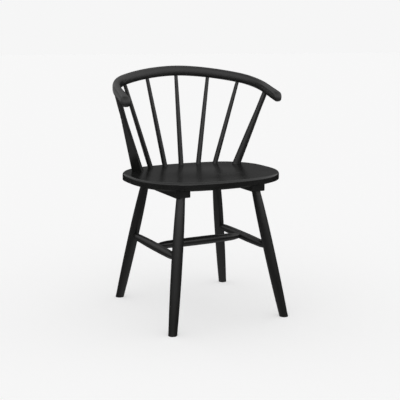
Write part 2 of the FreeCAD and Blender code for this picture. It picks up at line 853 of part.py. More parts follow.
def make_post(side):
    name = "arm_post_" + side_name(side)
    foot, head = post_line(side)
    rise = (head - foot).normalize()
    spare = size("post_blade_width") / 2
    stations = [
        ("post_low_end", "post_low_dia", "line"),
        ("post_blade_mid_length", "post_blade_mid_width", "line"),
        ("post_bend_height", "post_bend_dia", "through"),
        ("post_round_length", "post_thickness", "line"),
        ("post_high_end", "post_thickness", "line"),
    ]
    body = turned_body(name, stations)
    turn = math.radians(size("post_blade_turn"))
    wide = Vector(side * math.sin(turn), math.cos(turn), 0)
    body.Placement = Placement(foot, Rotation(wide, Vector(0, 0, 0), rise, "ZXY"))
    for face in (-1, 1):
        plane = body.newObject("PartDesign::SubtractiveBox", "%s_flat_%d" % (name, (face + 3) // 2))
        plane.Length = 4 * spare
        plane.Width = spare
        plane.Height = 2 * spare + size("post_round_length")
        offset = size("post_thickness") / 2 if face > 0 else -size("post_thickness") / 2 - spare
        plane.Placement = Placement(Vector(-2 * spare, offset, -2 * spare), Rotation())
    slice_off(body, name + "_shoulder_cut", SEAT_TOP, False)
    start_inside = foot + rise * spare
    reach = spare + size("post_foot_tenon")
    plug(body, name + "_tenon", "post_foot_tenon_dia", start_inside, -rise, reach)
    return body


# Arm rail


def rail_section():
    """Rounded section of the rail in its own plane: X outwards, Y up."""
    half_width = size("rail_width") / 2
    half_depth = size("rail_depth") / 2
    corners = [
        (1, 1, size("rail_top_round")),
        (-1, 1, size("rail_top_round")),
        (-1, -1, size("rail_low_round")),
        (1, -1, size("rail_low_round")),
    ]
    arcs = []
    for across, up, radius in corners:
        centre = Vector(across * (half_width - radius), up * (half_depth - radius), 0)
        side_tip = centre + Vector(across * radius, 0, 0)
        flat_tip = centre + Vector(0, up * radius, 0)
        reach = radius * math.sqrt(0.5)
        crown = centre + Vector(across * reach, up * reach, 0)
        tips = (side_tip, flat_tip) if across * up > 0 else (flat_tip, side_tip)
        arcs.append(Part.Arc(tips[0], crown, tips[1]))
    edges = []
    for number, arc in enumerate(arcs):
        following = arcs[(number + 1) % len(arcs)]
        edges.append(arc.toShape())
        edges.append(Part.LineSegment(arc.EndPoint, following.StartPoint).toShape())
    return Part.Wire(edges)


def rail_heading(share):
    """Level direction of the rail's plan curve."""
    step = 0.001
    ahead = rail_point(min(share + step, 1))
    behind = rail_point(max(share - step, -1))
    return Vector(ahead.x - behind.x, ahead.y - behind.y, 0).normalize()


def rail_loft():
    """One smooth skin through upright sections along the bent and falling centre line."""
    count = 28
    section = rail_section()
    stations = []
    for number in range(count + 1):
        share = 2 * number / count - 1
        outwards = Vector(0, 0, 1).cross(rail_heading(share))
        turn = Rotation(outwards, Vector(0, 0, 1), Vector(0, 0, 0), "XYZ")
        station = section.copy()
        station.Placement = Placement(rail_point(share), turn)
        stations.append(station)
    return Part.makeLoft(stations, True, False)


def make_rail():
    bend = doc.addObject("Part::Feature", "rail_bend")
    bend.Shape = rail_loft()
    body = new_body("arm_rail")
    body.BaseFeature = bend
    doc.recompute()
    end_y = rail_point(1).y
    at_end = lambda box: box.YMax < end_y + 1
    round_edges(body, "rail_end_round", at_end, "sizes.rail_end_round")
    for name, foot, head in spindle_lines():
        depth = "sizes.spindle_head_tenon + sizes.end_clearance"
        drill(body, name + "_rail_socket", "spindle_head_dia", head, head - foot, depth)
    for side in (-1, 1):
        foot, head = post_line(side)
        depth = "sizes.post_head_tenon + sizes.end_clearance"
        name = "post_rail_socket_%s" % side_name(side)
        drill(body, name, "post_thickness", head, head - foot, depth)
    return body


def make_chair():
    pieces = [make_seat(), make_screws(), make_cross_stretcher(), make_rail()]
    for side in (-1, 1):
        pieces.append(make_batten(side))
        pieces.append(make_leg("front", side))
        pieces.append(make_leg("rear", side))
        pieces.append(make_side_stretcher(side))
        pieces.append(make_wedge(side))
        pieces.append(make_post(side))
    for name, foot, head in spindle_lines():
        pieces.append(make_spindle(name, foot, head))
    return pieces


def check_document():
    for item in doc.Objects:
        if "Invalid" in item.State or "Error" in item.State:
            raise RuntimeError("%s failed: %s" % (item.Name, item.State))


def write_pieces(pieces):
    for piece in pieces:
        shape = piece.Shape
        if shape.isNull() or not shape.isValid():
            raise RuntimeError("%s has no valid shape" % piece.Label)
        shape.exportStep("parts/%s.step" % piece.Label)
        box = shape.BoundBox
        print("%s: %d solid(s), %.1f cm3, x %.1f..%.1f y %.1f..%.1f z %.1f..%.1f" % (
            piece.Label, len(shape.Solids), shape.Volume / 1000,
            box.XMin, box.XMax, box.YMin, box.YMax, box.ZMin, box.ZMax))


pieces = make_chair()
doc.recompute()
check_document()
write_pieces(pieces)
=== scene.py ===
# %% [markdown]
# # A black windsor armchair
#
# The chair has a thick saddle seat on four turned legs, an H stretcher that keeps the legs apart,
# five spindles and two flat posts, and one bent rail that is the back and both arms at once. All of
# its wood is sprayed with satin black lacquer. The CAD model gives every solid its place and size,
# so this script adds what a CAD model lacks: finish, fine detail, light and a camera.
#
# The first cell loads that model. Lengths here are in metres, x runs to the right as seen from the
# front, y runs to the back, and z runs up from the floor.

# %% Load the frame
import math

import bmesh
import bpy
import numpy
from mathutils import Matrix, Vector


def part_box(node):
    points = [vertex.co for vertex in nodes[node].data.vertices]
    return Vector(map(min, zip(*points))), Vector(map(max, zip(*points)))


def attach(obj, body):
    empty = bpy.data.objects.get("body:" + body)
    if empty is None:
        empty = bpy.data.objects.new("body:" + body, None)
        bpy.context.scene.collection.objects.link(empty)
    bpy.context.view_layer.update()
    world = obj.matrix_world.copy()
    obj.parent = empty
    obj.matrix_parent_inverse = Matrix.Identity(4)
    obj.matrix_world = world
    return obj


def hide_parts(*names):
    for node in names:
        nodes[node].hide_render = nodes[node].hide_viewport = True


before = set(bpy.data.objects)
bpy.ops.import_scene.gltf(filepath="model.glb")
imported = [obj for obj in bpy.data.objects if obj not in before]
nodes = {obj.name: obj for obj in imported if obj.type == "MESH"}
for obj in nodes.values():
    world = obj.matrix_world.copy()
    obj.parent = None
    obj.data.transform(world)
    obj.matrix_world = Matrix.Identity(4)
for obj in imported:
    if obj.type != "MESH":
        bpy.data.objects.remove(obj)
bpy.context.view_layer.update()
MM = 0.001


# %% [markdown]
# ## The camera
#
# The camera comes first, because every later choice is judged through it. The chair is seen from
# the front and a little from its right, from a bit above the height of its own back. A lens of
# 72 mm on a 36 mm sensor gives the mild perspective of a product picture. The turn of the camera
# is built from two angles, so that the horizon stays level.

# %% Place the camera
CAMERA_AZIMUTH = math.radians(-26.655)
CAMERA_ELEVATION = math.radians(11.052)
CAMERA_PLACE = Vector((-1.1127, -2.2210, 0.8353))
SENSOR_WIDTH_MM = 36
LENS_LENGTH_MM = 71.89


def direction(azimuth, elevation):
    """A unit vector from the chair; azimuth 0 points to the front, elevation is above the floor."""
    flat = math.cos(elevation)
    return Vector((math.sin(azimuth) * flat, -math.cos(azimuth) * flat, math.sin(elevation)))


def add_object(name, data):
    """A new object in the scene, holding this data."""
    made = bpy.data.objects.new(name, data)
    bpy.context.scene.collection.objects.link(made)
    return made


lens = bpy.data.cameras.new("photo_lens")
lens.sensor_width = SENSOR_WIDTH_MM
lens.lens = LENS_LENGTH_MM
camera = add_object("photo_camera", lens)
camera.location = CAMERA_PLACE
camera.rotation_mode = "QUATERNION"
looking = -direction(CAMERA_AZIMUTH, CAMERA_ELEVATION)
camera.rotation_quaternion = looking.to_track_quat("-Z", "Y")
bpy.context.scene.camera = camera
print("camera", round(CAMERA_PLACE.length, 3), "m from the middle of the chair's floor")

# %% [markdown]
# ## Tools for materials
#
# A finish is a small network of nodes. Three helpers keep each network readable. The first turns a
# colour as people write it, an sRGB hex value, into the linear numbers that a renderer needs. The
# second adds one node with its settings, its fixed inputs and its links, so that one line of code
# is one step of the recipe. The third starts a new material.

# %% Helpers for colours and nodes
def linear(colour):
    """Linear red, green, blue and 1 from an sRGB hex colour such as #1a1817."""
    shares = [int(colour[place:place + 2], 16) / 255 for place in (1, 3, 5)]
    return [s / 12.92 if s <= 0.04045 else ((s + 0.055) / 1.055) ** 2.4 for s in shares] + [1]


def add_node(tree, kind, inputs=None, **settings):
    """A node with these settings; an input is a fixed value or another node's output to link."""
    node = tree.nodes.new(kind)
    for name, value in settings.items():
        setattr(node, name, value)
    for name, value in (inputs or {}).items():
        if isinstance(value, bpy.types.NodeSocket):
            tree.links.new(value, node.inputs[name])
        else:
            node.inputs[name].default_value = value
    return node


def new_finish(name):
    """An empty material with its node tree and its output node."""
    finish = bpy.data.materials.new(name)
    finish.use_nodes = True
    tree = finish.node_tree
    tree.nodes.clear()
    return finish, tree, add_node(tree, "ShaderNodeOutputMaterial")


print("a mid grey in linear light:", [round(share, 4) for share in linear("#808080")])

# %% [markdown]
# ## The studio light
#
# The light is soft and comes from the world, which is infinitely far away. That lights the floor
# evenly up to the horizon, so the floor and the air behind the chair can have the same pale tone,
# and no line shows between them.
#
# Black lacquer shows little but what it mirrors, so the world is painted by height: bright above,
# dim at the horizon, dark on the ground around the chair and lit again right under it. Each pair
# below is a height, from -1 straight down to 1 straight up, and the tone of the light there.

# %% Paint the light by height
TONES_BY_HEIGHT = [
    (-1.0, 0.50), (-0.75, 0.40), (-0.56, 0.30), (-0.42, 0.20), (-0.20, 0.06),
    (-0.05, 0.08), (0.10, 0.22), (0.46, 1.0), (0.75, 0.82), (1.0, 0.55),
]

world = bpy.data.worlds.new("studio")
bpy.context.scene.world = world
bpy.context.scene.view_settings.view_transform = "Standard"
world.use_nodes = True
air = world.node_tree
air.nodes.clear()
sky = add_node(air, "ShaderNodeTexCoord").outputs["Generated"]
height = add_node(air, "ShaderNodeSeparateXYZ", {0: sky}).outputs["Z"]
share_of_ramp = {0: height, 1: 0.5, 2: 0.5}
place_on_ramp = add_node(air, "ShaderNodeMath", share_of_ramp, operation="MULTIPLY_ADD").outputs[0]
tones = add_node(air, "ShaderNodeValToRGB", {0: place_on_ramp})
tones.color_ramp.interpolation = "EASE"
while len(tones.color_ramp.elements) < len(TONES_BY_HEIGHT):
    tones.color_ramp.elements.new(0.5)
for element, (z, tone) in zip(tones.color_ramp.elements, TONES_BY_HEIGHT):
    element.position = (z + 1) / 2
    element.color = (tone, tone, tone, 1)
print(len(TONES_BY_HEIGHT), "tones from straight down to straight up")

# %% [markdown]
# A top of black lacquer that is seen from a low angle mirrors what stands behind it. To keep the
# seat black, one soft round gap in the light lies there. The camera itself sees neither the gap nor
# the tones, only the plain pale air, which a switch on the camera's own rays gives it.

# %% Leave a dark gap behind the chair
AIR = 0.922
TENT = 1.42
GAP_TURN = math.radians(174)
GAP_ELEVATION = math.radians(-8)
GAP_EDGE = 66
GAP_MIDDLE = 34
GAP_DARKNESS = 0.76


def around(tree, place, aim, edge, middle):
    """1 within `middle` degrees of a direction, falling to 0 at `edge` degrees from it."""
    towards = add_node(tree, "ShaderNodeVectorMath", {0: place, 1: aim}, operation="DOT_PRODUCT")
    start, end = (math.cos(math.radians(angle)) for angle in (edge, middle))
    cone = {"Value": towards.outputs["Value"], "From Min": start, "From Max": end}
    return add_node(tree, "ShaderNodeMapRange", cone, interpolation_type="SMOOTHSTEP").outputs[0]


gap = around(air, sky, direction(CAMERA_AZIMUTH + GAP_TURN, GAP_ELEVATION), GAP_EDGE, GAP_MIDDLE)
open_share = add_node(air, "ShaderNodeMath", {0: gap, 1: -GAP_DARKNESS, 2: 1.0}, operation="MULTIPLY_ADD")
left_over = {0: tones.outputs[0], 1: open_share.outputs[0]}
seen = add_node(air, "ShaderNodeMath", left_over, operation="MULTIPLY")
bright = add_node(air, "ShaderNodeMath", {0: seen.outputs[0], 1: TENT}, operation="MULTIPLY")
plain = add_node(air, "ShaderNodeBackground", {"Color": (AIR, AIR, AIR, 1)})
lit = add_node(air, "ShaderNodeBackground", {"Strength": bright.outputs[0]})
camera_ray = add_node(air, "ShaderNodeLightPath").outputs["Is Camera Ray"]
either = add_node(air, "ShaderNodeMixShader", {0: camera_ray, 1: lit.outputs[0], 2: plain.outputs[0]})
add_node(air, "ShaderNodeOutputWorld", {"Surface": either.outputs[0]})
print("studio light made of", len(air.nodes), "nodes")

# %% [markdown]
# ## The reflector
#
# In a product studio a band of white card stands around the object, open only behind it. Its lower
# edge is a hand's width above the seat, so the spindles and the rail mirror it and look grey, and
# the legs mostly look under it and stay dark. The card here is a curved wall that only gloss can
# see: it takes no part in lighting the floor and the camera sees through it. It is brightest in
# front and fades towards the back.

# %% Stand the reflector around the chair
CARD_RADIUS = 1.25
CARD_LOW = 0.55
CARD_HIGH = 1.30
CARD_TONE = 1.30
CARD_BACK_TONE = 0.50
CARD_FADE_FROM = -0.7
CARD_FADE_TO = 1.0
CARD_ENDS = (-174, 114)
CARD_STEP = 6

card_mesh = bpy.data.meshes.new("studio_reflector")
card_points = []
for angle in range(CARD_ENDS[0], CARD_ENDS[1] + 1, CARD_STEP):
    foot = direction(math.radians(angle), 0) * CARD_RADIUS
    card_points += [foot + Vector((0, 0, level)) for level in (CARD_LOW, CARD_HIGH)]
strips = [(2 * row, 2 * row + 1, 2 * row + 3, 2 * row + 2) for row in range(len(card_points) // 2 - 1)]
card_mesh.from_pydata(card_points, [], strips)
card = add_object("studio_reflector", card_mesh)
for sight in ("camera", "diffuse", "transmission", "volume_scatter", "shadow"):
    setattr(card, "visible_" + sight, False)
print("reflector of", len(strips), "strips")

# %% [markdown]
# The card is matt white paper board under lamps. Only its tone matters, and that is the same from
# every side, so it is a plain glow that depends on the place on the card.

# %% Light the card
card_white, tree, output = new_finish("lit_white_card")
card_place = add_node(tree, "ShaderNodeTexCoord").outputs["Object"]
fading = {
    "Value": add_node(tree, "ShaderNodeSeparateXYZ", {0: card_place}).outputs["Y"],
    "From Min": CARD_FADE_FROM,
    "From Max": CARD_FADE_TO,
    "To Min": CARD_TONE,
    "To Max": CARD_BACK_TONE,
}
card_tone = add_node(tree, "ShaderNodeMapRange", fading).outputs[0]
glow = add_node(tree, "ShaderNodeEmission", {"Strength": card_tone})
tree.links.new(glow.outputs[0], output.inputs["Surface"])
card.data.materials.append(card_white)
print("card tone from", CARD_TONE, "in front to", CARD_BACK_TONE, "at the back")

# %% [markdown]
# ## The floor
#
# The floor is a product table: a sheet of matt white acrylic, lit a little from below so that the
# shadows on it stay pale. About half of its tone is that glow and half is light that falls on it. It
# is one large flat face. Its lower side lets sight through, so that the chair can also be looked at
# from below.

# %% Lay the floor
FLOOR_REACH = 60.0
FLOOR_WHITE = 0.60
FLOOR_GLOW = 0.455

floor_mesh = bpy.data.meshes.new("studio_floor")
floor_signs = ((-1, -1), (1, -1), (1, 1), (-1, 1))
floor_corners = [(x * FLOOR_REACH, y * FLOOR_REACH, 0) for x, y in floor_signs]
floor_mesh.from_pydata(floor_corners, [], [(0, 1, 2, 3)])
floor = add_object("studio_floor", floor_mesh)
acrylic, tree, output = new_finish("matt_white_acrylic_sheet")
matt = add_node(tree, "ShaderNodeBsdfDiffuse", {"Color": (FLOOR_WHITE, FLOOR_WHITE, FLOOR_WHITE, 1)})
glow = add_node(tree, "ShaderNodeEmission", {"Strength": FLOOR_GLOW})
upper = add_node(tree, "ShaderNodeAddShader", {0: matt.outputs[0], 1: glow.outputs[0]})
lower = add_node(tree, "ShaderNodeBsdfTransparent")
side = add_node(tree, "ShaderNodeNewGeometry").outputs["Backfacing"]
sheet = add_node(tree, "ShaderNodeMixShader", {0: side, 1: upper.outputs[0], 2: lower.outputs[0]})
tree.links.new(sheet.outputs[0], output.inputs["Surface"])
floor.data.materials.append(acrylic)
floor.visible_glossy = False
print("floor laid,", 2 * FLOOR_REACH, "m wide")

# %% [markdown]
# ## The way the grain runs
#
# Under the lacquer is a plain hardwood such as beech or rubberwood, and the grain follows the length
# of every piece. To know that direction for a leaning leg, the vertices of its CAD mesh are measured:
# the direction in which they spread most is the length of the piece. Textures are then turned so
# that their own z axis lies that way.

# %% Measure the length of a piece
NEARLY_LEVEL = 0.3


def long_way(node):
    """The unit vector along a piece's greatest spread, from its own vertices."""
    points = numpy.array([vertex.co for vertex in node.data.vertices])
    spread = numpy.linalg.svd(points - points.mean(axis=0), full_matrices=False)[2][0]
    if spread[2] < 0 or (abs(spread[2]) < NEARLY_LEVEL and spread[0] + spread[1] < 0):
        spread = -spread
    return Vector(spread)


for name in ("leg_front_left", "spindle_3", "cross_stretcher"):
    print(name, "runs along", [round(share, 3) for share in long_way(nodes[name])])

# %% [markdown]
# ## Patterns on wood
#
# Grain, pores, rubbing and the skin of a sprayed film are all uneven in a regular way, which is what
# a noise texture gives. It is stretched to the width and length that the real pattern has, in
# millimetres. A Map Range node then takes the middle of the noise to the two values that are wanted.

# %% Stretch a noise along the grain
def grain_place(tree, along):
    """Coordinates of a straight piece, turned so that their z axis follows the grain."""
    turn = along.rotation_difference(Vector((0, 0, 1))).to_euler()
    place = add_node(tree, "ShaderNodeTexCoord").outputs["Object"]
    return add_node(tree, "ShaderNodeMapping", {"Vector": place, "Rotation": turn}).outputs[0]


def stretched(tree, place, cell, seed, detail=2.0):
    """Noise whose cells have this width and length, in metres, shifted by a seed."""
    width, length = cell
    scale = (1 / width, 1 / width, 1 / length)
    shape = {"Vector": place, "Scale": scale, "Location": (seed, seed, seed)}
    cells = add_node(tree, "ShaderNodeMapping", shape).outputs[0]
    fine = {"Vector": cells, "Scale": 1.0, "Detail": detail}
    return add_node(tree, "ShaderNodeTexNoise", fine).outputs[0]


def limits(value, low, high, from_low=0.3, from_high=0.7):
    """Inputs that make a Map Range node take a value from its own range to low and high."""
    return {"Value": value, "From Min": from_low, "From Max": from_high, "To Min": low, "To Max": high}


print("a cell of 1 mm has the scale", 1 / MM)

# %% [markdown]
# ## A painted highlight and wear along the edges
#
# On sharp edges the colour is lightened, which is a painted highlight, and the gloss is dulled, as
# where hands and cloth rub. A Bevel node gives the normal that a rounded edge would have, and where
# it differs from the real normal, there is an edge. Patches of noise break the mark up unevenly.

# %% Find the edges for the painted highlight and the wear
EDGE_RADIUS = 1.6 * MM
EDGE_MARK_PATCH = (9 * MM, 22 * MM)
PATCH_SEED = 7.0
EDGE_MARK_FROM = 0.42
EDGE_MARK_TO = 0.7
FLAT_FROM = 0.97
SHARP_FROM = 0.8
BEVEL_SAMPLES = 4


# The mask below paints a highlight into the colour of sharp edges and also dulls their gloss.
def edge_highlight_and_wear(tree, place):
    """0 on flat wood, up to 1 on sharp edges in patches: a painted highlight there, and duller gloss."""
    rounded = add_node(tree, "ShaderNodeBevel", {"Radius": EDGE_RADIUS}, samples=BEVEL_SAMPLES)
    flat = add_node(tree, "ShaderNodeNewGeometry")
    facing = {0: rounded.outputs[0], 1: flat.outputs["Normal"]}
    same = add_node(tree, "ShaderNodeVectorMath", facing, operation="DOT_PRODUCT").outputs["Value"]
    sharp = add_node(tree, "ShaderNodeMapRange", limits(same, 1.0, 0.0, SHARP_FROM, FLAT_FROM))
    noise = stretched(tree, place, EDGE_MARK_PATCH, PATCH_SEED)
    patches = add_node(tree, "ShaderNodeMapRange", limits(noise, 0.0, 1.0, EDGE_MARK_FROM, EDGE_MARK_TO))
    both = {0: sharp.outputs[0], 1: patches.outputs[0]}
    return add_node(tree, "ShaderNodeMath", both, operation="MULTIPLY").outputs[0]


print("edges are looked for within", EDGE_RADIUS / MM, "mm")

# %% [markdown]
# ## Satin black lacquer on wood
#
# The chair was turned, sanded, stained dark and sprayed with two coats of black satin lacquer. That
# gives the eye four things: a nearly black tone, soft stretched reflections, a faint open grain
# where the film sank into the pores, and a slightly uneven gloss where hands and cloth rub.
#
# Lacquer is a clear plastic film with an index of refraction of about 1.5. Bands of darker and
# lighter wood are some 7 mm wide, and the orange peel that a spray gun leaves is some 3 mm across.
# Pores of beech are only 0.1 mm wide, too fine to show from here, so they are drawn 0.9 mm wide
# and some 20 mm long. On the sharpest edges a lighter brown is painted in as a highlight.

# %% Choose the colours and patterns of the lacquer
LACQUER = "#0f0f0f"
# The brown below is painted on sharp edges as a highlight.
THIN_LACQUER = "#171716"
EDGE_HIGHLIGHT_BROWN = "#2e2926"
LACQUER_IOR = 1.5
WOOD_BANDS = (7 * MM, 160 * MM)
PORES = (0.9 * MM, 20 * MM)
ORANGE_PEEL = (3.2 * MM, 3.2 * MM)
RUBBED_PATCH = (55 * MM, 90 * MM)
BAND_DETAIL = 4.0
EDGE_HIGHLIGHT_SHARE = 0.55


def lacquer_colour(tree, bands, highlight_and_wear):
    """Nearly black, a little lighter in bands, with a lighter brown painted on sharp edges as a highlight.
    """
    thin = add_node(tree, "ShaderNodeMapRange", limits(bands, 0.0, 1.0)).outputs[0]
    film = {0: thin, 6: linear(LACQUER), 7: linear(THIN_LACQUER)}
    body = add_node(tree, "ShaderNodeMix", film, data_type="RGBA").outputs[2]
    # Sharp edges are lightened towards brown here: a painted highlight.
    painted_highlight = add_node(tree, "ShaderNodeMapRange", limits(highlight_and_wear, 0.0, EDGE_HIGHLIGHT_SHARE, 0.0, 1.0)).outputs[0]
    highlighted = {0: painted_highlight, 6: body, 7: linear(EDGE_HIGHLIGHT_BROWN)}
    return add_node(tree, "ShaderNodeMix", highlighted, data_type="RGBA").outputs[2]


print("black lacquer in linear light:", [round(share, 4) for share in linear(LACQUER)])

# %% [markdown]
# The gloss of a satin film changes a little from place to place: hands polish it, open pores and
# worn edges dull it. Its relief is the sunk pores with the orange peel on top of them, so one bump
# feeds the next.

# %% Mix the lacquer
POLISHED_BY = 0.035
DULLED_BY = 0.045
PORE_DULLNESS = 0.05
WEAR_DULLNESS = 0.12
PORE_DEPTH = 0.12 * MM
PORE_STRENGTH = 0.22
PEEL_DEPTH = 0.10 * MM
PEEL_STRENGTH = 0.18


def lacquered_wood(name, place_of, gloss=0.30, seed=0.0, open_grain=1.0):
    """Satin black lacquer on a piece; place_of gives its coordinates, with z along the grain."""
    finish, tree, output = new_finish(name)
    place = place_of(tree)
    bands = stretched(tree, place, WOOD_BANDS, seed, BAND_DETAIL)
    pores = stretched(tree, place, PORES, seed + 3)
    peel = stretched(tree, place, ORANGE_PEEL, seed + 5)
    rubbed = stretched(tree, place, RUBBED_PATCH, seed + 9)
    # This edge mask paints a highlight into the colour and dulls the gloss.
    highlight_and_wear = edge_highlight_and_wear(tree, place)
    polished = add_node(tree, "ShaderNodeMapRange", limits(rubbed, gloss - POLISHED_BY, gloss + DULLED_BY))
    dull = add_node(tree, "ShaderNodeMapRange", limits(pores, 0.0, PORE_DULLNESS * open_grain))
    sheen = {0: dull.outputs[0], 1: polished.outputs[0]}
    grainy = add_node(tree, "ShaderNodeMath", sheen, operation="ADD").outputs[0]
    rougher = {0: highlight_and_wear, 1: WEAR_DULLNESS, 2: grainy}
    rough = add_node(tree, "ShaderNodeMath", rougher, operation="MULTIPLY_ADD")
    relief = {"Height": pores, "Strength": PORE_STRENGTH * open_grain, "Distance": PORE_DEPTH}
    sunk = add_node(tree, "ShaderNodeBump", relief).outputs[0]
    sprayed = {"Height": peel, "Strength": PEEL_STRENGTH, "Distance": PEEL_DEPTH, "Normal": sunk}
    look = {
        "Base Color": lacquer_colour(tree, bands, highlight_and_wear),
        "Roughness": rough.outputs[0],
        "IOR": LACQUER_IOR,
        "Normal": add_node(tree, "ShaderNodeBump", sprayed).outputs[0],
    }
    shader = add_node(tree, "ShaderNodeBsdfPrincipled", look)
    tree.links.new(shader.outputs[0], output.inputs["Surface"])
    return finish


print("lacquer recipe ready, IOR", LACQUER_IOR)

# %% [markdown]
# ## Dressing the straight pieces
#
# Legs, stretchers, spindles, posts and battens are straight, so each gets the lacquer with its own
# measured grain direction and its own seed. No two pieces then share the same pattern, as no two
# pieces of wood do. A batten is wide and short, so its grain is given, front to back.

# %% Lacquer the turned and straight pieces
OTHER_PIECES = ("arm_rail", "seat", "batten_screws")
FRONT_TO_BACK = Vector((0, 1, 0))
SEED_STEP = 1.7


def dress(name, finish):
    """Gives a CAD node this finish in all of its material slots."""
    node = nodes[name]
    if not node.material_slots:
        node.data.materials.append(finish)
    for slot in node.material_slots:
        slot.material = finish


straight_pieces = [name for name in sorted(nodes) if name not in OTHER_PIECES]
for number, name in enumerate(straight_pieces):
    way = FRONT_TO_BACK if name.startswith("batten") else long_way(nodes[name])
    title = "satin_black_lacquer_" + name
    dress(name, lacquered_wood(title, lambda tree: grain_place(tree, way), seed=number * SEED_STEP))
print(len(straight_pieces), "straight pieces lacquered")

# %% [markdown]
# ## The seat
#
# The seat is glued up from boards whose grain runs from side to side, then hollowed and bevelled. It
# is the largest flat surface, and it was rubbed down between coats, so it is a little smoother than
# the turned parts and its pores are nearly filled.

# %% Lacquer the seat
SIDE_TO_SIDE = Vector((1, 0, 0))
SEAT_GLOSS = 0.22
SEAT_SEED = 40.0
FILLED_GRAIN = 0.3

seat_lacquer = lacquered_wood(
    "satin_black_lacquer_seat",
    lambda tree: grain_place(tree, SIDE_TO_SIDE),
    SEAT_GLOSS,
    SEAT_SEED,
    FILLED_GRAIN,
)
dress("seat", seat_lacquer)
print("seat lacquered")

# %% [markdown]
# ## The arm rail
#
# The rail is one length of wood, bent round the sitter: a shallow arc across the back, a tight arc at
# each corner and a straight arm on each side, falling towards the hands. It could be a bevelled
# curve, but a bevel keeps one section all the way. Here the section changes, so the rail is skinned:
# rings of points are placed along the bend and joined by faces. The plan and the fall are
# those of the CAD solid. What is added are the softer oval section and the full, rounded grips, which
# swell inwards towards the ends of the arms.

# %% Follow the bend of the rail
BACK_Y = 171.0 * MM
BACK_HEIGHT = 750.2 * MM
BACK_RADIUS = 403.0 * MM
BACK_TURN = math.radians(29.9)
CORNER_RADIUS = 109.5 * MM
CORNER_TURN = math.radians(55.2)
ARM_LENGTH = 81.5 * MM
RAIL_FALL = 82.5 * MM
FALL_POWER = 0.89
HALF_RAIL = BACK_RADIUS * BACK_TURN + CORNER_RADIUS * CORNER_TURN + ARM_LENGTH


def rail_plan(distance):
    """Plan point and heading of the rail, this far from the middle of the back towards +X."""
    past_back = distance - BACK_RADIUS * BACK_TURN
    if past_back <= 0:
        turn = distance / BACK_RADIUS
        return BACK_RADIUS * math.sin(turn), BACK_RADIUS * (math.cos(turn) - 1), turn
    offset = BACK_RADIUS - CORNER_RADIUS
    turn = BACK_TURN + min(past_back / CORNER_RADIUS, CORNER_TURN)
    x = offset * math.sin(BACK_TURN) + CORNER_RADIUS * math.sin(turn)
    y = offset * math.cos(BACK_TURN) - BACK_RADIUS + CORNER_RADIUS * math.cos(turn)
    past_corner = max(past_back - CORNER_RADIUS * CORNER_TURN, 0)
    return x + past_corner * math.cos(turn), y - past_corner * math.sin(turn), turn


def rail_point(distance):
    """Centre of the rail and its outward direction; a negative distance is on the -X side."""
    x, y, turn = rail_plan(abs(distance))
    fall = RAIL_FALL * (y / rail_plan(HALF_RAIL)[1]) ** FALL_POWER if y < 0 else 0.0
    side = math.copysign(1, distance)
    centre = Vector((side * x, BACK_Y + y, BACK_HEIGHT - fall))
    return centre, Vector((side * math.sin(turn), math.cos(turn), 0))


print("rail", round(2 * HALF_RAIL, 3), "m long, ends at", [round(c, 3) for c in rail_point(HALF_RAIL)[0]])

# %% [markdown]
# The rings are ovals with slightly flattened sides: a superellipse, whose exponent of 2 would be an
# ellipse and whose higher ones come nearer to a box. Rings that follow each other are joined with
# four-sided faces, and the first and the last ring are closed.

# %% Make rings and a skin
RING_POINTS = 36
SQUARENESS = 2.7


def oval_ring(centre, outwards, width, depth):
    """Points round a superellipse that stands upright across the rail."""
    ring = []
    for number in range(RING_POINTS):
        angle = 2 * math.pi * number / RING_POINTS
        shares = (math.cos(angle), math.sin(angle))
        across, up = (math.copysign(abs(share) ** (2 / SQUARENESS), share) for share in shares)
        ring.append(centre + outwards * (across * width / 2) + Vector((0, 0, up * depth / 2)))
    return ring


def skin(mesh, rings):
    """Joins the rings with four-sided faces and closes both ends."""
    loops = [[mesh.verts.new(point) for point in ring] for ring in rings]
    for one, other in zip(loops, loops[1:]):
        for number in range(len(one)):
            following = (number + 1) % len(one)
            mesh.faces.new((one[number], one[following], other[following], other[number]))
    mesh.faces.new(loops[0][::-1])
    mesh.faces.new(loops[-1])
    bmesh.ops.recalc_face_normals(mesh, faces=mesh.faces)


print("a ring has", RING_POINTS, "points")

# %% [markdown]
# Over the last stretch of each arm the section swells to the grip, gently at first, and at the tip a
# few rings close in, so that the grip ends in a dome.

# %% Skin the rail
RAIL_WIDTH = 24.5 * MM
RAIL_DEPTH = 32.5 * MM
GRIP_SWELL = 5.0 * MM
GRIP_LENGTH = 95.0 * MM
TIP_LENGTH = 13.0 * MM
TIP_ROUNDNESS = 2.3
TIP_LEFT = 0.02
TIP_SHARES = (0.75, 0.55, 0.38, 0.24, 0.13, 0.06, 0.02, 0.0)
HALF_RINGS = 64


def rail_ring(distance):
    """The rail's ring at a distance from the middle of the back."""
    centre, outwards = rail_point(distance)
    from_end = HALF_RAIL - abs(distance)
    grip = max(1 - from_end / GRIP_LENGTH, 0.0)
    swell = GRIP_SWELL * grip * grip * (3 - 2 * grip)
    tip = max(1 - from_end / TIP_LENGTH, 0.0)
    closing = max(1 - tip ** TIP_ROUNDNESS, TIP_LEFT) ** (1 / TIP_ROUNDNESS)
    width = (RAIL_WIDTH + swell) * closing
    return oval_ring(centre - outwards * swell / 2, outwards, width, RAIL_DEPTH * closing)


tip_places = [HALF_RAIL - TIP_LENGTH * share for share in TIP_SHARES]
body_places = [
    (HALF_RAIL - TIP_LENGTH) * number / HALF_RINGS for number in range(1 - HALF_RINGS, HALF_RINGS)
]
places = [-place for place in reversed(tip_places)] + body_places + tip_places
rail_mesh = bmesh.new()
skin(rail_mesh, [rail_ring(place) for place in places])
print("rail skinned over", len(places), "rings")

# %% [markdown]
# The grain of a bent piece goes round the corner with it. Its coordinates are made polar: the
# angle around a point in front of the back, times a radius, is the length along the rail, and the
# distance from that point and the height are the other two.

# %% Lacquer the rail
BEND_MIDDLE = (0.0, -0.02, 0.0)
BEND_RADIUS = 0.23
RAIL_GLOSS = 0.30
RAIL_SEED = 60.0


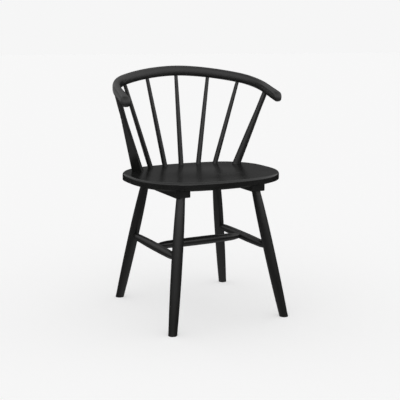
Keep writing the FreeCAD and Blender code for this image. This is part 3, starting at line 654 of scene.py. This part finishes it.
def rail_place(tree):
    """Coordinates of the bent rail, with z along its curve."""
    place = add_node(tree, "ShaderNodeTexCoord").outputs["Object"]
    both = {0: place, 1: BEND_MIDDLE}
    away = add_node(tree, "ShaderNodeVectorMath", both, operation="SUBTRACT").outputs[0]
    parts = add_node(tree, "ShaderNodeSeparateXYZ", {0: away})
    plan = {0: parts.outputs["X"], 1: parts.outputs["Y"]}
    angle = add_node(tree, "ShaderNodeMath", plan, operation="ARCTAN2")
    length = add_node(tree, "ShaderNodeMath", {0: angle.outputs[0], 1: BEND_RADIUS}, operation="MULTIPLY")
    flat = add_node(tree, "ShaderNodeVectorMath", {0: away, 1: (1, 1, 0)}, operation="MULTIPLY")
    distance = add_node(tree, "ShaderNodeVectorMath", {0: flat.outputs[0]}, operation="LENGTH")
    shares = {"X": distance.outputs["Value"], "Y": parts.outputs["Z"], "Z": length.outputs[0]}
    return add_node(tree, "ShaderNodeCombineXYZ", shares).outputs[0]


def finish_piece(name, mesh, finish, node):
    """Turns a bmesh into a smooth piece that rides on the chair and stands for a CAD node."""
    data = bpy.data.meshes.new(name)
    mesh.to_mesh(data)
    mesh.free()
    data.polygons.foreach_set("use_smooth", [True] * len(data.polygons))
    data.materials.append(finish)
    piece = add_object(name, data)
    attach(piece, "root")
    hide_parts(node)
    print(name, "has", len(data.polygons), "faces")


rail_lacquer = lacquered_wood("satin_black_lacquer_rail", rail_place, RAIL_GLOSS, RAIL_SEED)
finish_piece("rail", rail_mesh, rail_lacquer, "arm_rail")

# %% [markdown]
# ## The batten screws
#
# Three countersunk wood screws hold each batten under the seat. They are zinc plated steel: a metal
# with a bright, faintly blue skin, which gives sharp small highlights that are a little uneven. The
# crystals of the plating are far finer than a millimetre, so they are drawn 0.9 mm wide to show.

# %% Plate the screws
ZINC = "#b9bcc0"
ZINC_CRYSTAL = (0.9 * MM, 0.9 * MM)
ZINC_SEED = 2.0
ZINC_ROUGHNESS = (0.24, 0.42)

plating, tree, output = new_finish("zinc_plated_steel")
place = add_node(tree, "ShaderNodeTexCoord").outputs["Object"]
crystals = stretched(tree, place, ZINC_CRYSTAL, ZINC_SEED)
steel = {
    "Base Color": linear(ZINC),
    "Metallic": 1.0,
    "Roughness": add_node(tree, "ShaderNodeMapRange", limits(crystals, *ZINC_ROUGHNESS)).outputs[0],
}
shader = add_node(tree, "ShaderNodeBsdfPrincipled", steel)
tree.links.new(shader.outputs[0], output.inputs["Surface"])
print("screws plated")

# %% [markdown]
# Only the heads of the screws show, from below, and a picture on a flat disc would look flat there.
# So a screw is skinned as the rail is, from rings of points. Its outline is followed from the
# middle of the head, where the cross for the driver sinks it, over the rim and down the cone, and
# along the shank, whose radius follows a helix, which makes the thread.

# %% Draw the outline of a screw
SCREW_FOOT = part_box("batten_screws")[0].z
SCREW_LENGTH = 42.0 * MM
HEAD_RADIUS = 4.3 * MM
HEAD_HEIGHT = 2.6 * MM
HEAD_RIM = 0.12 * MM
HEAD_SHARES = (0.04, 0.14, 0.24, 0.34, 0.44, 0.54, 0.62, 0.8, 0.97)
CORE_RADIUS = 1.6 * MM
THREAD_RADIUS = 2.25 * MM
THREAD_PITCH = 2.4 * MM
RIDGE_SHARE = 0.5
POINT_LENGTH = 5 * MM
POINT_LEFT = 0.08
CROSS_WIDTH = 0.75 * MM
CROSS_REACH = 2.5 * MM
CROSS_DEPTH = 1.7 * MM
SHANK_RINGS = 44


def cross_depth(radius, angle):
    """How far the driver's cross has sunk the head at this point."""
    x, y = radius * abs(math.cos(angle)), radius * abs(math.sin(angle))
    across, along = min(x, y), max(x, y)
    if across > CROSS_WIDTH or along > CROSS_REACH:
        return 0.0
    return CROSS_DEPTH * (1 - along / CROSS_REACH) ** 0.5


def thread_radius(level, angle):
    """Radius of the shank this high above the face of the head; the ridge climbs with the angle."""
    phase = (level / THREAD_PITCH - angle / (2 * math.pi)) % 1
    ridge = max(0.0, 1 - abs(phase - 0.5) / (RIDGE_SHARE / 2))
    taper = min(1.0, (SCREW_LENGTH - level) / POINT_LENGTH + POINT_LEFT)
    return (CORE_RADIUS + (THREAD_RADIUS - CORE_RADIUS) * ridge) * taper


def screw_outline(angle):
    """Radius and height of a screw at this angle, from the middle of its head to its point."""
    shank = SCREW_LENGTH - HEAD_HEIGHT
    levels = [HEAD_HEIGHT + shank * number / SHANK_RINGS for number in range(1, SHANK_RINGS + 1)]
    head = [(HEAD_RADIUS * share, cross_depth(HEAD_RADIUS * share, angle)) for share in HEAD_SHARES]
    cone = [(HEAD_RADIUS, HEAD_RIM), (CORE_RADIUS, HEAD_HEIGHT)]
    return head + cone + [(thread_radius(level, angle), level) for level in levels]


print("a screw is", round(SCREW_LENGTH / MM), "mm long, its outline has", len(screw_outline(0)), "points")

# %% [markdown]
# The outline is taken at many angles round the screw. Points of the same rank then make one ring.
# Three screws stand in a row in each batten, and one loop places all six.

# %% Turn the screws
SCREW_X = 127.0 * MM
SCREW_SPACING = 62.0 * MM
SCREW_SIDES = 32


def screw_rings(x, y):
    """Rings of points of one screw whose axis stands at this place."""
    columns = []
    for number in range(SCREW_SIDES):
        angle = 2 * math.pi * number / SCREW_SIDES
        columns.append([
            (x + radius * math.cos(angle), y + radius * math.sin(angle), SCREW_FOOT + level)
            for radius, level in screw_outline(angle)
        ])
    return zip(*columns)


screws = bmesh.new()
for side in (-1, 1):
    for row in (-1, 0, 1):
        skin(screws, screw_rings(side * SCREW_X, row * SCREW_SPACING))
finish_piece("screws", screws, plating, "batten_screws")
